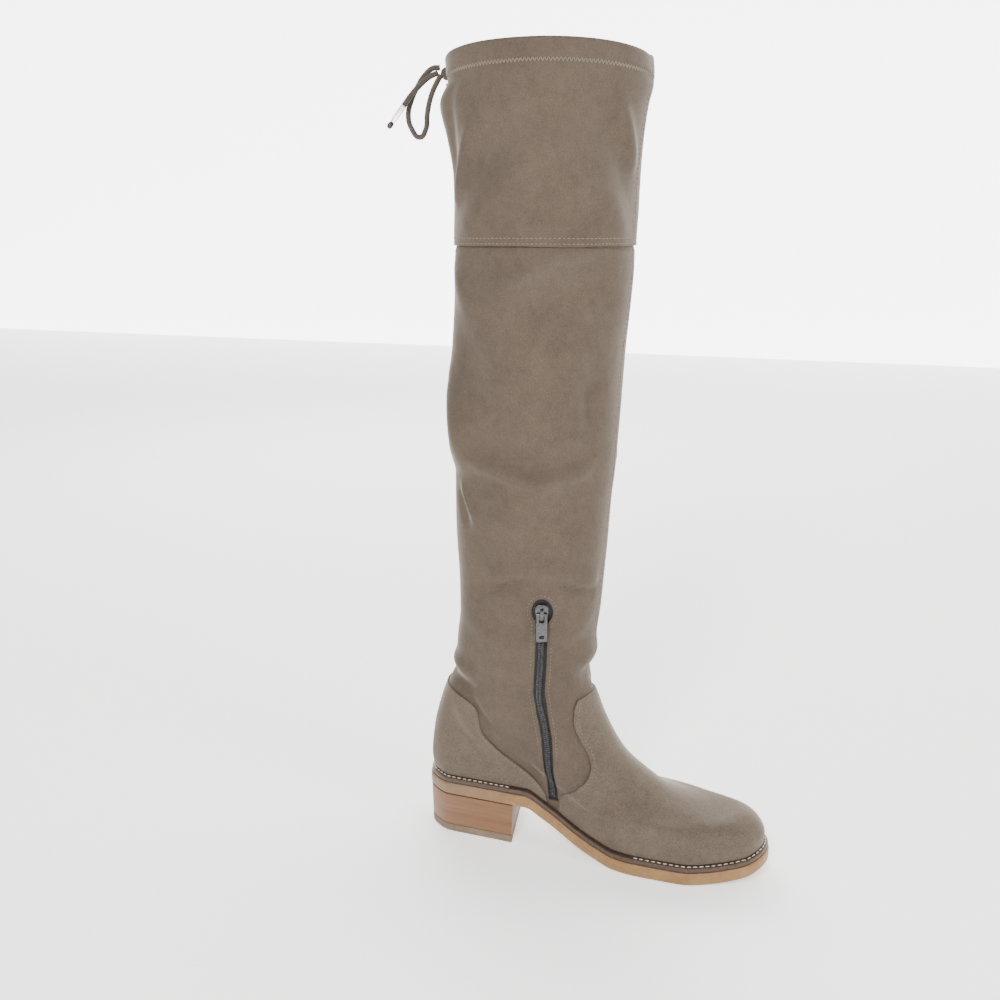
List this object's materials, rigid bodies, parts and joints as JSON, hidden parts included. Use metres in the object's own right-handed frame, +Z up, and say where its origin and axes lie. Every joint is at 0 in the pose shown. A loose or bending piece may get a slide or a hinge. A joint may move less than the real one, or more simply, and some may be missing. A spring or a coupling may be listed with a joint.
{
  "type": "thigh high boot",
  "caption": "Thigh high suede boot on a stacked block heel and crepe sole, with a short ankle zip, a sewn thigh panel and a drawstring bow at the rim. Left foot, hollow.",
  "frame": {"origin": "middle of the heel's ground face", "axes": "+Z up, toe points along +X, the inner (medial) side with the zip faces -Y"},
  "size_m": [0.2882, 0.126, 0.5866],
  "materials": {
    "foot_suede": "taupe suede, fine nap",
    "shaft_suede": "darker taupe suede, fine nap",
    "crepe": "honey crepe rubber",
    "heel_stack": "stacked leather, fine layers",
    "heel_top": "taupe rubber",
    "welt": "dark brown leather with pale stitches",
    "lining": "plain sock leather",
    "zip_tape": "black woven tape",
    "zip_metal": "gunmetal",
    "cord": "dark brown suede cord",
    "cord_tip": "clear sleeve and dark bead"
  },
  "bodies": {
    "boot": {"upper": "shaft_suede", "thigh_panel": "shaft_suede", "vamp": "foot_suede", "counter": "foot_suede", "outsole": "crepe", "welt": "welt", "insole": "lining", "heel_stack": "heel_stack", "heel_top_piece": "heel_top", "zip_tape": "zip_tape", "zip_chain": "zip_metal", "zip_slider": "zip_metal", "bow_knot": "cord", "bow_loop_medial": "cord", "bow_loop_lateral": "cord", "bow_end_medial": "cord", "bow_end_lateral": "cord", "cord_tip_medial": "cord_tip", "cord_tip_lateral": "cord_tip"},
    "pull": {"zip_pull": "zip_metal"}
  },
  "joints": [
    {"name": "zip_pull_hinge", "type": "hinge", "parent": "boot", "child": "pull", "pos_m": [0.06741, -0.04481, 0.1975], "axis": [-0.9371, -0.3491, 0], "range_deg": [0, 150]}
  ]
}
